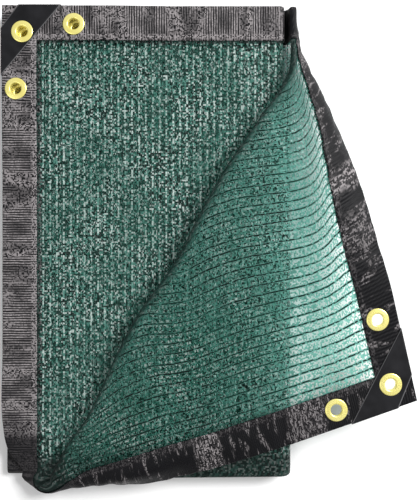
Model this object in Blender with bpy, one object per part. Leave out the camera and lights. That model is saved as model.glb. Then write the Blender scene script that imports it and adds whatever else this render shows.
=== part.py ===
"""Shade cloth of knitted mesh, folded in quarters, with the corner of its top sheet turned back.

The cloth is one panel with a binding tape on each side, a reinforcing patch on each corner and
three brass eyelets at each corner. It is folded once across and once lengthwise, so four sheets
lie on each other: "top" (turned back as a flap), "upper", "lower" and "base". The fold across is
at the stack's front edge (-Y) and the fold lengthwise, the spine, at its right edge (+X).
Sizes are in millimetres and the meshes are made in metres. The origin is the centre of the
stack's underside.
"""

import math

import bmesh
import bpy
import numpy as np

MM = 0.001

# The stack
WIDTH = 274.0
LENGTH = 446.0
SHEET_STEP = 7.0  # from one sheet's middle to the next one's
PANEL = 1.0  # thickness of the knitted panel
TAPE_WIDTH = 33.0
TAPE = 0.5  # thickness of the tape on each face of the panel
TAPE_EDGE = 1.5  # and at the cloth's edge, where it is turned over
PATCH = 0.5  # thickness of a patch on each face of the tape
GAP = 0.3

# Half thicknesses, from a sheet's middle outwards
PANEL_FACE = PANEL / 2
TAPE_INSIDE = PANEL_FACE + GAP
TAPE_FACE = TAPE_INSIDE + TAPE
PATCH_INSIDE = TAPE_FACE + GAP
PATCH_FACE = PATCH_INSIDE + PATCH
PANEL_INSET = 4.0  # from the cloth's edge to the panel's

# Heights of the sheets' middles, and the two folds
BASE_Z = TAPE_FACE
LOWER_Z = BASE_Z + SHEET_STEP
UPPER_Z = LOWER_Z + SHEET_STEP
TOP_Z = UPPER_Z + SHEET_STEP
FOLD_RADIUS = SHEET_STEP / 2
SPINE_RADIUS = SHEET_STEP  # to the middle between its two sheets
SPINE_X = WIDTH / 2 - SPINE_RADIUS - FOLD_RADIUS
SPINE_Z = (BASE_Z + TOP_Z) / 2
LEFT = -WIDTH / 2
BACK = LENGTH / 2
FOLD_DROP = LENGTH - FOLD_RADIUS  # from the back edge to where the front fold starts

# How the base sheet lies: its panel sags to the surface inside the tapes, and its corner stands
# on its eyelets, which lifts the corners of the sheets above it too
SAG = TAPE_INSIDE
SAG_RUN = 22.0
CORNER_LIFT = 2.0
LIFT_FLAT = 96.0
LIFT_RUN = 70.0
LOWER_SHIFT = (2.5, -2.0)  # how far the lower sheets' corners lie from the upper one's, X and Y
SHIFT_RUN = 165.0
RIPPLE = 0.7  # height of the soft waves in the upper sheet

# Eyelets: radii of the bore, the barrel and the flange, and the flange's height at three places
BORE_R = 5.25
BARREL_R = 5.85
DOME_R = 7.4
FLANGE_R = 10.25
LIP = 0.45  # at the bore
DOME = 0.9
RIM = 0.2  # at its outer edge
EYELET_SEGMENTS = 16
HOLE_SIDES = 12
HOLE_REACH = 3.2  # how far above and below its own sheet a hole's cutter goes

# The turned-back flap. The crease runs from the spine to the tongue at the front left. Each row
# is a place on it: drop of that row of cloth from the back edge, outermost point of the bend,
# the bend's radius, the height of its axis, and the part of the turn that the bend takes.
CREASE = [
    # drop, x, y, radius, axis z, turn from, turn to
    (0.0, 136.9, 222.0, 2.4, 12.5, 95, 262),
    (16.5, 136.6, 205.5, 2.4, 17.0, 88, 255),
    (33.0, 136.2, 189.0, 2.5, 21.3, 80, 245),
    (49.0, 135.6, 172.5, 3.0, 24.2, 68, 225),
    (67.0, 133.4, 156.5, 4.4, 26.5, 48, 195),
    (80.0, 127.5, 145.0, 5.6, 28.2, 28, 170),
    (95.0, 118.0, 131.0, 6.5, 28.8, 0, 152),
    (125.0, 97.5, 101.0, 7.5, 29.8, 0, 150),
    (155.0, 77.5, 72.0, 8.0, 30.3, 0, 150),
    (205.0, 49.0, 22.0, 8.5, 30.8, 0, 150),
    (248.0, 27.0, -21.0, 8.5, 30.8, 0, 150),
    (291.0, -4.5, -64.5, 8.0, 30.3, 0, 150),
    (344.0, -32.5, -117.5, 7.0, 29.3, 0, 150),
    (393.0, -56.0, -167.0, 5.5, 27.8, 0, 150),
    (418.0, -74.0, -192.0, 4.8, 27.1, 0, 150),
    (442.5, -89.0, -221.0, 4.0, 25.8, 0, 150),
]
PLAIN_DROP = 95.0  # from here forwards the top sheet comes right round the spine and lies flat

# How far round the spine the top sheet has come, from lying flat, where the flap leaves it
SPINE_END = [
    # drop, degrees short of flat
    (0.0, 108.0),
    (16.5, 95.0),
    (33.0, 82.0),
    (49.0, 72.0),
    (67.0, 54.0),
    (80.0, 34.0),
    (95.0, 0.0),
]

# The flap's two bands of tape: each row is a place along the seam, the cloth's edge beside it,
# and how far the tape bows out between them
RIGHT_BAND = [
    # seam x, y, z, edge x, y, z, bow: from the spine to the flap's corner
    (140.8, 189.0, 22.3, 141.6, 222.0, 12.9, 0.0),
    (141.6, 176.0, 25.5, 144.0, 197.0, 7.5, 1.0),
    (143.4, 163.5, 29.5, 149.0, 177.0, 6.0, 2.5),
    (146.6, 151.5, 33.0, 156.5, 161.5, 6.5, 3.5),
    (152.8, 128.7, 38.0, 169.3, 135.5, 11.0, 4.0),
    (160.1, 100.6, 41.0, 180.0, 107.5, 17.0, 4.0),
    (165.7, 68.4, 42.5, 192.5, 74.5, 24.0, 3.5),
    (171.8, 36.6, 43.0, 202.4, 43.0, 31.0, 2.5),
    (181.5, -7.0, 43.0, 213.5, 0.0, 37.0, 1.5),
]
FRONT_BAND = [
    # seam x, y, z, edge x, y, z, bow: from the tongue to the flap's corner
    (-84.1, -233.4, 22.5, -79.0, -233.2, 10.0, 2.3),
    (-71.0, -224.4, 26.2, -65.5, -233.0, 11.5, 4.2),
    (-57.3, -214.5, 30.0, -53.0, -231.0, 12.0, 7.5),
    (-42.0, -209.0, 32.0, -38.5, -230.5, 14.5, 8.0),
    (-25.0, -203.5, 34.0, -21.0, -229.8, 18.0, 8.0),
    (-4.4, -196.5, 36.0, 1.0, -227.5, 23.0, 7.0),
    (23.4, -187.4, 37.0, 30.2, -220.0, 27.0, 4.0),
    (55.7, -177.7, 39.0, 63.5, -210.0, 34.0, 2.0),
    (92.3, -165.3, 40.5, 101.5, -197.0, 39.0, 1.0),
]
FLAP_CORNER = (248.5, -146.0)
FLAP_Z = 42.0
FLAP_FLAT = 100.0  # the flap is level as far as this from its corner
FLAP_FLAT_RUN = 50.0
FLAP_BACKWARD = (-0.22, 0.9755)  # along the right band, away from the corner
FLAP_LEFTWARD = (-0.9445, -0.3285)  # along the front band, away from the corner
CORNER_REACH = 72.0  # the bands are straight this far from the corner's seams
FLAP_CROWN = 7.0
FLAP_DRAPE = 2.0  # how fast the right band's curve fades towards the front

# The cloth's four corners, each in its own sheet: its two edges run away from the corner
RIGHTWARD, FORWARD = (1.0, 0.0), (0.0, -1.0)
LOWER_CORNER = (LEFT + LOWER_SHIFT[0], BACK + LOWER_SHIFT[1])
CORNERS = {
    # sheet: corner x, y, sheet's middle z, direction of the first edge, of the second edge
    "upper": (LEFT, BACK, UPPER_Z + CORNER_LIFT, RIGHTWARD, FORWARD),
    "lower": (*LOWER_CORNER, LOWER_Z + CORNER_LIFT, RIGHTWARD, FORWARD),
    "base": (*LOWER_CORNER, BASE_Z + CORNER_LIFT, RIGHTWARD, FORWARD),
    "flap": (*FLAP_CORNER, FLAP_Z, FLAP_BACKWARD, FLAP_LEFTWARD),
}
STACK_EYELETS = [
    # name, distance along the first edge, along the second edge
    ("corner", 19.8, 25.4),
    ("back", 68.3, 18.0),
    ("left", 13.6, 79.1),
]
FLAP_EYELETS = [
    ("corner", 22.6, 20.6),
    ("back", 82.2, 19.0),
    ("left", 16.6, 74.0),
]
PATCHES = [
    # sheet, where the cut corner and the long side meet the first edge, and the second edge
    ("upper", 16.0, 56.0, 21.0, 66.0),
    ("lower", 18.0, 60.0, 18.0, 60.0),
    ("base", 18.0, 60.0, 18.0, 60.0),
    ("flap", 24.0, 67.6, 18.0, 63.0),
]

TAPES_AT = {
    # sheet: the tapes that its eyelets go through
    "upper": ("tape_left_flap", "tape_back_upper"),
    "lower": ("tape_left_base", "tape_back_upper"),
    "base": ("tape_left_base", "tape_back_flap"),
    "flap": ("tape_left_flap", "tape_back_flap"),
}

# The tongue: the end of the front fold, pulled out at the left under the flap
TONGUE_X = LEFT + 47.0
TONGUE_BEND = 8.0  # width of the crease's bend where it runs out round the front fold
TONGUE_SEAM_BULGE = (-9.0, -7.5)
TONGUE_EDGE_BULGE = (-8.5, -7.0)
TONGUE_TUCK = [
    # drop, share of the tape's width that still lies flat, sink
    (398.0, 1.0, 0.0),
    (424.0, 0.82, 1.2),
    (442.5, 0.45, 3.2),
]

# Columns of the panel's grid, from the flap's edge to the base sheet's edge
TAPE_COLUMNS = 2
FLAP_COLUMNS = 12
FLAP_SPACING = 1.5  # its columns lie closer towards the crease
BEND_COLUMNS = 4
FLAT_COLUMNS = 4
SPINE_COLUMNS = 7
BASE_COLUMNS = 4
SEAM = TAPE_COLUMNS
BEND = SEAM + FLAP_COLUMNS
FLAT = BEND + BEND_COLUMNS
SPINE = FLAT + FLAT_COLUMNS
BASE = SPINE + SPINE_COLUMNS
BASE_SEAM = BASE + BASE_COLUMNS
LAST = BASE_SEAM + TAPE_COLUMNS

UNDER_DROPS = (0.0, 16.5, 33.0, 96.0, 170.0, 250.0, 330.0, 395.0, 424.0, FOLD_DROP)
FOLD_ANGLES = (36, 72, 108, 144)
FLAP_ROWS = 16

GREEN = (0.035, 0.12, 0.095, 1)
BLACK = (0.012, 0.012, 0.013, 1)
SATIN = (0.02, 0.02, 0.022, 1)
BRASS = (0.85, 0.62, 0.16, 1)


def smooth(x):
    x = min(max(x, 0.0), 1.0)
    return x * x * (3 - 2 * x)


def through(stations, values, at):
    """A smooth curve through values at stations, read at one place."""
    stations, values = np.array(stations, float), np.array(values, float)
    slopes = np.gradient(values, stations, axis=0)
    at = min(max(at, stations[0]), stations[-1])
    k = min(int(np.searchsorted(stations, at, side="right")) - 1, len(stations) - 2)
    step = stations[k + 1] - stations[k]
    t = (at - stations[k]) / step
    return (
        values[k] * (1 + 2 * t) * (1 - t) ** 2
        + slopes[k] * step * t * (1 - t) ** 2
        + values[k + 1] * t * t * (3 - 2 * t)
        + slopes[k + 1] * step * t * t * (t - 1)
    )


def column(table, name_index, at):
    return float(through([r[0] for r in table], [r[name_index] for r in table], at))


def flap_frame():
    """The flap's corner, and its two directions away from it, level."""
    corner = np.array([*FLAP_CORNER, FLAP_Z])
    return corner, np.array([*FLAP_BACKWARD, 0.0]), np.array([*FLAP_LEFTWARD, 0.0])


def band_stations(table, along, across):
    """A band's rows, with its straight stretch beside the flap's corner added, and their run."""
    corner, _, _ = flap_frame()
    rows = [np.array(r) for r in table]
    for reach in (CORNER_REACH, CORNER_REACH / 2, 0.0):
        edge = corner + along * (reach + TAPE_WIDTH)
        rows.append(np.concatenate([edge + across * TAPE_WIDTH, edge, [0.0]]))
    rows = np.array(rows)
    steps = np.linalg.norm(np.diff(rows[:, :3], axis=0), axis=1)
    run = np.concatenate([[0], np.cumsum(steps)])
    return run / run[-1], rows


CORNER, BACKWARD, LEFTWARD = flap_frame()
RIGHT_RUN = band_stations(RIGHT_BAND, BACKWARD, LEFTWARD)
FRONT_RUN = band_stations(FRONT_BAND, LEFTWARD, BACKWARD)


def band_point(run, share, out, side):
    """A point of a band: share along it, out 0 at the seam and 1 at the edge."""
    row = through(*run, share)
    ahead = through(*run, share + 0.02)[:3] - through(*run, share - 0.02)[:3]
    lateral = row[3:6] - row[:3]
    bow = np.cross(ahead, lateral) * side
    bow /= np.linalg.norm(bow)
    return row[:3] + lateral * out + bow * row[6] * 4 * out * (1 - out)


def right_band(share, out=0.0):
    """The flap's right band: share 0 at the spine, 1 at the corner."""
    return band_point(RIGHT_RUN, share, out, 1)


def front_band(share, out=0.0):
    """The flap's front band: share 0 at the tongue, 1 at the corner."""
    return band_point(FRONT_RUN, share, out, -1)


def crease_bend(drop):
    """(axis point, outward and upward directions, radius, first and last turn) of the bend."""
    x, y, radius, z, first, last = (column(CREASE, k, drop) for k in range(1, 7))
    ahead = np.array([column(CREASE, k, drop + 4) - column(CREASE, k, drop - 4) for k in (1, 2, 4)])
    out = np.array([ahead[1], -ahead[0], 0.0])
    out /= np.linalg.norm(out)
    up = np.cross(ahead, out)
    up /= np.linalg.norm(up) * np.sign(up[2])
    axis = np.array([x, y, z]) - out * radius
    return axis, out, up, radius, math.radians(max(first, 0)), math.radians(last)


def bend_point(drop, share):
    """Round the crease's bend: share 0 where the lying part ends, 1 where the flap starts."""
    axis, out, up, radius, first, last = crease_bend(drop)
    turn = first + (last - first) * share
    return axis + radius * (out * math.sin(turn) - up * math.cos(turn))


def flap_row(drop, share):
    """A point of the flap: share 0 at the crease, 1 at the front band's seam."""
    run = (drop - TAPE_WIDTH) / (FOLD_DROP - TAPE_WIDTH)
    start, end = bend_point(drop, 1), front_band(1 - run)
    point = start + (end - start) * share
    first, last = right_band(0), right_band(1)
    curve = right_band(share) - (first + (last - first) * share)
    point = point + curve * (1 - run) ** FLAP_DRAPE
    point[2] += FLAP_CROWN * math.sin(math.pi * run) * share * (1 - share) ** 2 * 6.75
    return level_out(point)


def level_out(point):
    """The flap is level beside its corner, where its eyelets are."""
    off = np.linalg.norm(point[:2] - CORNER[:2])
    share = 1 - smooth((off - FLAP_FLAT) / FLAP_FLAT_RUN)
    return np.array([point[0], point[1], point[2] + (FLAP_Z - point[2]) * share])


def flap_point(drop, col):
    """The top sheet's points on the flap, from its edge (column 0) to its crease."""
    across = TAPE_WIDTH * min(col, SEAM) / SEAM
    share = 1 - (max(0, col - SEAM) / FLAP_COLUMNS)
    share = share ** (1 + (FLAP_SPACING - 1) * (1 - smooth(drop / FOLD_DROP * 2 - 1)))
    if col == BEND:
        return bend_point(drop, 1)
    if drop < TAPE_WIDTH and col < SEAM:
        return CORNER + BACKWARD * across + LEFTWARD * drop
    if drop < TAPE_WIDTH:
        return level_out(right_band(share, 1 - drop / TAPE_WIDTH))
    if col < SEAM:
        run = (drop - TAPE_WIDTH) / (FOLD_DROP - TAPE_WIDTH)
        return level_out(front_band(1 - run, 1 - across / TAPE_WIDTH))
    return flap_row(drop, share)


def spine_point(n, y, angle):
    """Round the spine: angle 0 on the top leg, pi on the bottom one; n is the offset outwards."""
    radius = SPINE_RADIUS + n
    return np.array([SPINE_X + radius * math.sin(angle), y, SPINE_Z + radius * math.cos(angle)])


def section(row):
    """(y, offset outwards) of a row of the grid where the cloth is folded plainly."""
    kind, drop, angle = row
    if kind == "fold":
        return BACK - FOLD_DROP - FOLD_RADIUS * math.sin(angle), -FOLD_RADIUS * math.cos(angle)
    return BACK - drop, FOLD_RADIUS if kind == "top" else -FOLD_RADIUS


def spine_angle(row):
    if row[0] != "top":
        return 0.0
    return math.radians(max(0.0, column(SPINE_END, 1, row[1])))


def settle(point):
    """Moves a point of the four sheets to where their weight and their corners put it."""
    x, y, z = point
    inside = smooth((x - LEFT - TAPE_WIDTH) / SAG_RUN) * smooth((BACK - TAPE_WIDTH - y) / SAG_RUN)
    from_corner = max(x - LEFT, BACK - y)
    lift = CORNER_LIFT * (1 - smooth((from_corner - LIFT_FLAT) / LIFT_RUN))
    below = 1 - smooth((z - BASE_Z) / (LOWER_Z - BASE_Z))
    lower = 1 - smooth((z - LOWER_Z) / (UPPER_Z - LOWER_Z))
    left = smooth((SPINE_X - x) / SHIFT_RUN)
    back = smooth((y + BACK) / LENGTH)
    x += LOWER_SHIFT[0] * lower * left
    y += LOWER_SHIFT[1] * lower * left * back
    return np.array([x, y, z - SAG * inside * below + lift])


def ripple(x, y):
    """Soft waves of the upper sheet, none at its tapes and folds."""
    inside = smooth((x - LEFT - TAPE_WIDTH) / 40) * smooth((BACK - TAPE_WIDTH - y) / 40)
    inside *= smooth((SPINE_X - x) / 30) * smooth((y + BACK - 12) / 40)
    return RIPPLE * inside * (math.sin(x / 17 + y / 60) + 0.6 * math.sin(y / 31 - x / 45))


def upper_point(drop, col):
    """The upper sheet, which the flap leaves bare: flat, its edge tucked in by the tongue."""
    y = BACK - drop
    even = LEFT + TAPE_WIDTH + (SPINE_X - LEFT - TAPE_WIDTH) * (col - SEAM) / (SPINE - SEAM)
    if col >= FLAT:
        first = TONGUE_X + TONGUE_BEND
        close = first + (SPINE_X - first) * (col - FLAT) / FLAT_COLUMNS
    elif col >= BEND:
        close = TONGUE_X + TONGUE_BEND * (col - BEND) / BEND_COLUMNS
    else:
        close = LEFT + TAPE_WIDTH + (TONGUE_X - LEFT - TAPE_WIDTH) * (col - SEAM) / FLAP_COLUMNS
    near_fold = smooth((drop - TAPE_WIDTH) / (FOLD_DROP - TAPE_WIDTH))
    x = even + (close - even) * near_fold
    z = UPPER_Z
    if col < SEAM:
        flat, sink = (column(TONGUE_TUCK, k, drop) for k in (1, 2))
        out = 1 - col / SEAM
        x = LEFT + TAPE_WIDTH - TAPE_WIDTH * flat * out
        z -= sink * out
    return settle((x, y, z + ripple(x, y)))


def top_point(row, col):
    """The top sheet: flat as far as the crease, round its bend, and the flap."""
    drop = row[1]
    if col <= BEND:
        return flap_point(drop, col)
    if col < FLAT:
        return bend_point(drop, (FLAT - col) / BEND_COLUMNS)
    angle = spine_angle(row)
    leave = spine_point(FOLD_RADIUS, BACK - drop, angle)
    arrive = bend_point(drop, 0)
    _, out, up, _, first, _ = crease_bend(drop)
    span = np.linalg.norm(arrive - leave)
    heading = np.array([-math.cos(angle), 0.0, math.sin(angle)]) * span
    arriving = (out * math.cos(first) + up * math.sin(first)) * span
    if drop >= PLAIN_DROP:
        heading = arriving = arrive - leave
    return hermite(leave, heading, arrive, arriving, (SPINE - col) / FLAT_COLUMNS)


def hermite(a, leaving, b, arriving, t):
    return (
        a * (1 + 2 * t) * (1 - t) ** 2
        + leaving * t * (1 - t) ** 2
        + b * t * t * (3 - 2 * t)
        + arriving * t * t * (t - 1)
    )


def fold_point(angle, col):
    """The front fold between the upper sheet and the top one, with the tongue at its left end."""
    low = upper_point(FOLD_DROP, col)
    high = top_point(("top", FOLD_DROP, 0.0), col)
    share = (1 - math.cos(angle)) / 2
    plain = np.array([0.0, -FOLD_RADIUS])
    if col >= FLAT:
        bulge = plain
    elif col >= SEAM:
        out = smooth((FLAT - col) / (FLAT - SEAM))
        bulge = plain + (np.array(TONGUE_SEAM_BULGE) - plain) * out
    else:
        seam, edge = np.array(TONGUE_SEAM_BULGE), np.array(TONGUE_EDGE_BULGE)
        bulge = edge + (seam - edge) * col / SEAM
    middle = low + (high - low) * share
    return middle + np.array([*bulge, 0.0]) * math.sin(angle)


def grid_point(row, col):
    kind, drop, angle = row
    if col < SPINE:
        if kind == "under":
            return upper_point(drop, col)
        return fold_point(angle, col) if kind == "fold" else top_point(row, col)
    y, n = section(row)
    if col <= BASE:
        start = spine_angle(row)
        return settle(spine_point(n, y, start + (math.pi - start) * (col - SPINE) / SPINE_COLUMNS))
    seam = LEFT + TAPE_WIDTH
    if col <= BASE_SEAM:
        x = SPINE_X + (seam - SPINE_X) * (col - BASE) / BASE_COLUMNS
    else:
        x = seam - TAPE_WIDTH * (col - BASE_SEAM) / TAPE_COLUMNS
    return settle((x, y, SPINE_Z - SPINE_RADIUS - n))


def grid_rows():
    rows = [("under", drop, 0.0) for drop in UNDER_DROPS]
    rows += [("fold", FOLD_DROP, math.radians(a)) for a in FOLD_ANGLES]
    for k in range(FLAP_ROWS + 1):
        rows.append(("top", FOLD_DROP + (TAPE_WIDTH - FOLD_DROP) * k / FLAP_ROWS, 0.0))
    return rows + [("top", TAPE_WIDTH / 2, 0.0), ("top", 0.0, 0.0)]


ROWS = grid_rows()
SHEET = np.array([[grid_point(row, col) for col in range(LAST + 1)] for row in ROWS])


def sheet_normals(sheet):
    """Outward normals of the grid: up on the top sheet's flat part, down on the base sheet."""
    along = np.gradient(sheet, axis=0)
    across = np.gradient(sheet, axis=1)
    normal = np.cross(across, along)
    return normal / np.linalg.norm(normal, axis=2, keepdims=True)


NORMALS = sheet_normals(SHEET)


def on_sheet(row, col):
    """(place, normal) at a fractional row and column of the grid."""
    i, j = min(int(row), len(SHEET) - 2), min(int(col), LAST - 1)
    u, v = row - i, col - j
    mix = [(1 - u) * (1 - v), (1 - u) * v, u * (1 - v), u * v]
    spots = [(i, j), (i, j + 1), (i + 1, j), (i + 1, j + 1)]
    place = sum(m * SHEET[s] for m, s in zip(mix, spots, strict=True))
    normal = sum(m * NORMALS[s] for m, s in zip(mix, spots, strict=True))
    return place, normal / np.linalg.norm(normal)


def material(name, color, rough, metal=0.0):
    m = bpy.data.materials.new(name)
    m.use_nodes = True
    shader = m.node_tree.nodes["Principled BSDF"]
    shader.inputs["Base Color"].default_value = color
    shader.inputs["Roughness"].default_value = rough
    shader.inputs["Metallic"].default_value = metal
    return m


def add_object(name, points, faces, mat):
    mesh = bpy.data.meshes.new(name)
    mesh.from_pydata([tuple(float(c) * MM for c in p) for p in points], [], faces)
    if mat:
        mesh.materials.append(mat)
    bm = bmesh.new()
    bm.from_mesh(mesh)
    bmesh.ops.recalc_face_normals(bm, faces=bm.faces)
    bm.to_mesh(mesh)
    bm.free()
    mesh.shade_smooth()
    mesh.set_sharp_from_angle(angle=math.radians(40))
    o = bpy.data.objects.new(name, mesh)
    bpy.context.scene.collection.objects.link(o)
    return o


def lofted(rings):
    """Triangles through rings of (row, column, offset), all split along the same diagonal.

    Neighbouring solids that are split alike keep their gap where the cloth twists.
    """
    count = len(rings[0])
    spots = [spot for ring in rings for spot in ring]
    faces = []
    for k in range(len(rings) - 1):
        for m in range(count):
            a, b = k * count + m, k * count + (m + 1) % count
            c, d = b + count, a + count
            if (spots[c][0] - spots[a][0]) * (spots[c][1] - spots[a][1]) > 0:
                faces += [(a, b, c), (a, c, d)]
            else:
                faces += [(a, b, d), (b, c, d)]
    return [sheet_offset(*spot) for spot in spots], faces


def sheet_offset(row, col, offset):
    place, normal = on_sheet(row, col)
    return place + normal * offset


def end_faces(first, count):
    """Closes one end of a solid whose ring runs out along one face and back along the other."""
    faces = []
    for m in range(count // 2 - 1):
        a, b = first + m, first + m + 1
        c, d = first + count - 2 - m, first + count - 1 - m
        faces += [(a, b, c), (a, c, d)]
    return faces


def build_panel(mat):
    inset = PANEL_INSET / (TAPE_WIDTH / TAPE_COLUMNS)
    rows = [inset, *range(1, len(ROWS) - 1), len(ROWS) - 1 - inset]
    columns = [inset, *range(1, LAST), LAST - inset]
    rings = []
    for row in rows:
        ring = [(row, col, PANEL_FACE) for col in columns]
        rings.append(ring + [(row, col, -PANEL_FACE) for col in reversed(columns)])
    points, faces = lofted(rings)
    count = len(rings[0])
    faces += end_faces(0, count) + end_faces(len(points) - count, count)
    return add_object("panel", points, faces, mat)


def tape_section():
    """The tape's section: (distance in from the cloth's edge, offset from its middle)."""
    inner = (TAPE_WIDTH, TAPE_WIDTH / 2, PANEL_INSET, TAPE_EDGE)
    outer = (TAPE_WIDTH, TAPE_WIDTH / 2, PANEL_INSET, 0.0)
    ring = [(q, TAPE_INSIDE) for q in inner] + [(q, -TAPE_INSIDE) for q in reversed(inner)]
    return ring + [(q, -TAPE_FACE) for q in outer] + [(q, TAPE_FACE) for q in reversed(outer)]


def build_tape(name, stations, spot, mat):
    """A tape along stations; spot gives its (row, column) for a station and a distance in."""
    rings = [[(*spot(k, q), offset) for q, offset in tape_section()] for k in stations]
    points, faces = lofted(rings)
    count = len(rings[0])
    faces += end_faces(0, count) + end_faces(len(points) - count, count)
    return add_object(name, points, faces, mat)


def build_tapes(mat):
    step = TAPE_WIDTH / TAPE_COLUMNS
    end = len(ROWS) - 1
    rows = list(range(len(ROWS)))
    clear = GAP / step
    columns = [SEAM + clear, *range(SEAM + 1, BASE_SEAM), BASE_SEAM - clear]
    courses = [
        ("tape_left_flap", rows, lambda k, q: (k, q / step)),
        ("tape_left_base", rows, lambda k, q: (k, LAST - q / step)),
        ("tape_back_upper", columns, lambda k, q: (q / step, k)),
        ("tape_back_flap", columns, lambda k, q: (end - q / step, k)),
    ]
    return {name: build_tape(name, stations, spot, mat) for name, stations, spot in courses}


def corner_frame(sheet):
    x, y, z, first, second = CORNERS[sheet]
    return np.array([x, y, z]), np.array([*first, 0.0]), np.array([*second, 0.0])


def patch_ring(sheet, along_first, along_second):
    """One open side of a patch: its outer outline and its inner one, across the corner."""
    corner, first, second = corner_frame(sheet)
    ring = []
    for clear, face in ((PATCH + GAP, PATCH_FACE), (GAP, PATCH_INSIDE)):
        ends = [(along_first, -clear), (-clear, along_second)]
        for height, pair in ((face, ends), (-face, ends[::-1])):
            for a, b in pair:
                ring.append(corner + first * a + second * b + np.array([0.0, 0.0, height]))
    return ring


def build_patch(sheet, cut_first, leg_first, cut_second, leg_second, mat):
    """A patch wrapped round the cloth's corner, open at its cut tip and at its long side."""
    points = patch_ring(sheet, cut_first, cut_second) + patch_ring(sheet, leg_first, leg_second)
    faces = []
    for m in range(4):
        n = (m + 1) % 4
        faces += [(m, n, n + 8, m + 8), (m + 4, m + 12, n + 12, n + 4)]
        faces += [(m, m + 4, n + 4, n), (m + 8, n + 8, n + 12, m + 12)]
    return add_object("patch_" + sheet, points, faces, mat)


def turned(name, center, profile, segments, mat):
    """A ring turned round a vertical axis from a closed profile of (radius, height)."""
    points = []
    for k in range(segments):
        turn = 2 * math.pi * k / segments
        for r, h in profile:
            points.append(center + np.array([r * math.cos(turn), r * math.sin(turn), h]))
    count = len(profile)
    faces = []
    for k in range(segments):
        for m in range(count):
            a, b = k * count, (k + 1) % segments * count
            n = (m + 1) % count
            faces.append((a + m, b + m, b + n, a + n))
    return add_object(name, points, faces, mat)


def build_eyelet(name, center, clamp, mat):
    """An eyelet whose flanges clamp the cloth at a distance from its middle."""
    upper = [(BORE_R, clamp + LIP), (DOME_R, clamp + DOME), (FLANGE_R, clamp + RIM)]
    upper += [(FLANGE_R, clamp), (BARREL_R, clamp)]
    profile = upper + [(r, -h) for r, h in reversed(upper)]
    return turned(name, center, profile, EYELET_SEGMENTS, mat)


def eyelet_places(sheet):
    corner, first, second = corner_frame(sheet)
    table = FLAP_EYELETS if sheet == "flap" else STACK_EYELETS
    return [(name, corner + first * a + second * b) for name, a, b in table]


def hole_cutter(sheet):
    """Prisms through one sheet where its eyelets' barrels pass, as one hidden object."""
    points, faces = [], []
    radius = (BARREL_R + GAP) / math.cos(math.pi / HOLE_SIDES)
    for _, center in eyelet_places(sheet):
        base = len(points)
        for height in (-HOLE_REACH, HOLE_REACH):
            for k in range(HOLE_SIDES):
                turn = 2 * math.pi * k / HOLE_SIDES
                spot = np.array([radius * math.cos(turn), radius * math.sin(turn), height])
                points.append(center + spot)
        for k in range(HOLE_SIDES):
            n = (k + 1) % HOLE_SIDES
            faces.append((base + k, base + n, base + n + HOLE_SIDES, base + k + HOLE_SIDES))
        faces.append(tuple(range(base, base + HOLE_SIDES)))
        faces.append(tuple(range(base + HOLE_SIDES, base + 2 * HOLE_SIDES)))
    cutter = add_object("cutter_" + sheet, points, faces, None)
    cutter.hide_render = True
    cutter.display_type = "WIRE"
    return cutter


def pierce(target, cutter):
    cut = target.modifiers.new("holes", "BOOLEAN")
    cut.operation = "DIFFERENCE"
    cut.solver = "EXACT"
    cut.object = cutter


def main():
    for o in list(bpy.data.objects):
        bpy.data.objects.remove(o, do_unlink=True)
    green = material("green_knit", GREEN, 0.7)
    black = material("black_tape", BLACK, 0.6)
    satin = material("black_satin", SATIN, 0.35)
    brass = material("brass", BRASS, 0.25, 1.0)
    panel = build_panel(green)
    tapes = build_tapes(black)
    cutters = {sheet: hole_cutter(sheet) for sheet in CORNERS}
    for sheet, cutter in cutters.items():
        pierce(panel, cutter)
        for tape in TAPES_AT[sheet]:
            pierce(tapes[tape], cutter)
    for sheet, *outline in PATCHES:
        pierce(build_patch(sheet, *outline, satin), cutters[sheet])
        for name, center in eyelet_places(sheet):
            clamp = PATCH_FACE if name == "corner" else TAPE_FACE
            build_eyelet(f"eyelet_{sheet}_{name}", center, clamp + GAP, brass)


main()
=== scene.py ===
"""Looks of the folded shade cloth: knit, woven tapes, satin patches, brass eyelets and stage.

The cloth's shape is worked out by the same functions as in the CAD model, on a finer grid. Its
places are in millimetres and its meshes in metres. The panel is one open surface of knit, and
each tape and patch is a thin shell. "across" is the distance over the flat cloth from the edge
of its flap's front band, and "along" the distance from the back edge of its upper sheet.
"""

import math

import bmesh
import bpy
import numpy as np
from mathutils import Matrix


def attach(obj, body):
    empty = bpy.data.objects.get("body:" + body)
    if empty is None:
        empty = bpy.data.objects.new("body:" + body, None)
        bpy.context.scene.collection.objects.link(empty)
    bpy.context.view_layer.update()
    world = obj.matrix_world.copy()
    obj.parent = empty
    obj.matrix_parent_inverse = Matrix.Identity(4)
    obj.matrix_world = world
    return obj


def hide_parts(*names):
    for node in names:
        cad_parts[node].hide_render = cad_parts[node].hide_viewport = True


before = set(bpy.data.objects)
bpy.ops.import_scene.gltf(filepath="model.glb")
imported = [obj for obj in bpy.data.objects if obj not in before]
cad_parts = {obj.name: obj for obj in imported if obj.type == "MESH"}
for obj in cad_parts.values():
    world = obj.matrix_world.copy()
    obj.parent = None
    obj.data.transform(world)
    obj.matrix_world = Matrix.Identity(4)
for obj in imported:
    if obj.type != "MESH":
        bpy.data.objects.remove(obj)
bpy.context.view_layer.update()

MM = 0.001

# The stack
WIDTH = 274.0
LENGTH = 446.0
SHEET_STEP = 7.0  # from one sheet's middle to the next one's
PANEL = 1.0  # thickness of the knitted panel
TAPE_WIDTH = 33.0
TAPE = 0.5  # thickness of the tape on each face of the panel
TAPE_EDGE = 1.5  # and at the cloth's edge, where it is turned over
PATCH = 0.5  # thickness of a patch on each face of the tape
GAP = 0.3

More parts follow.
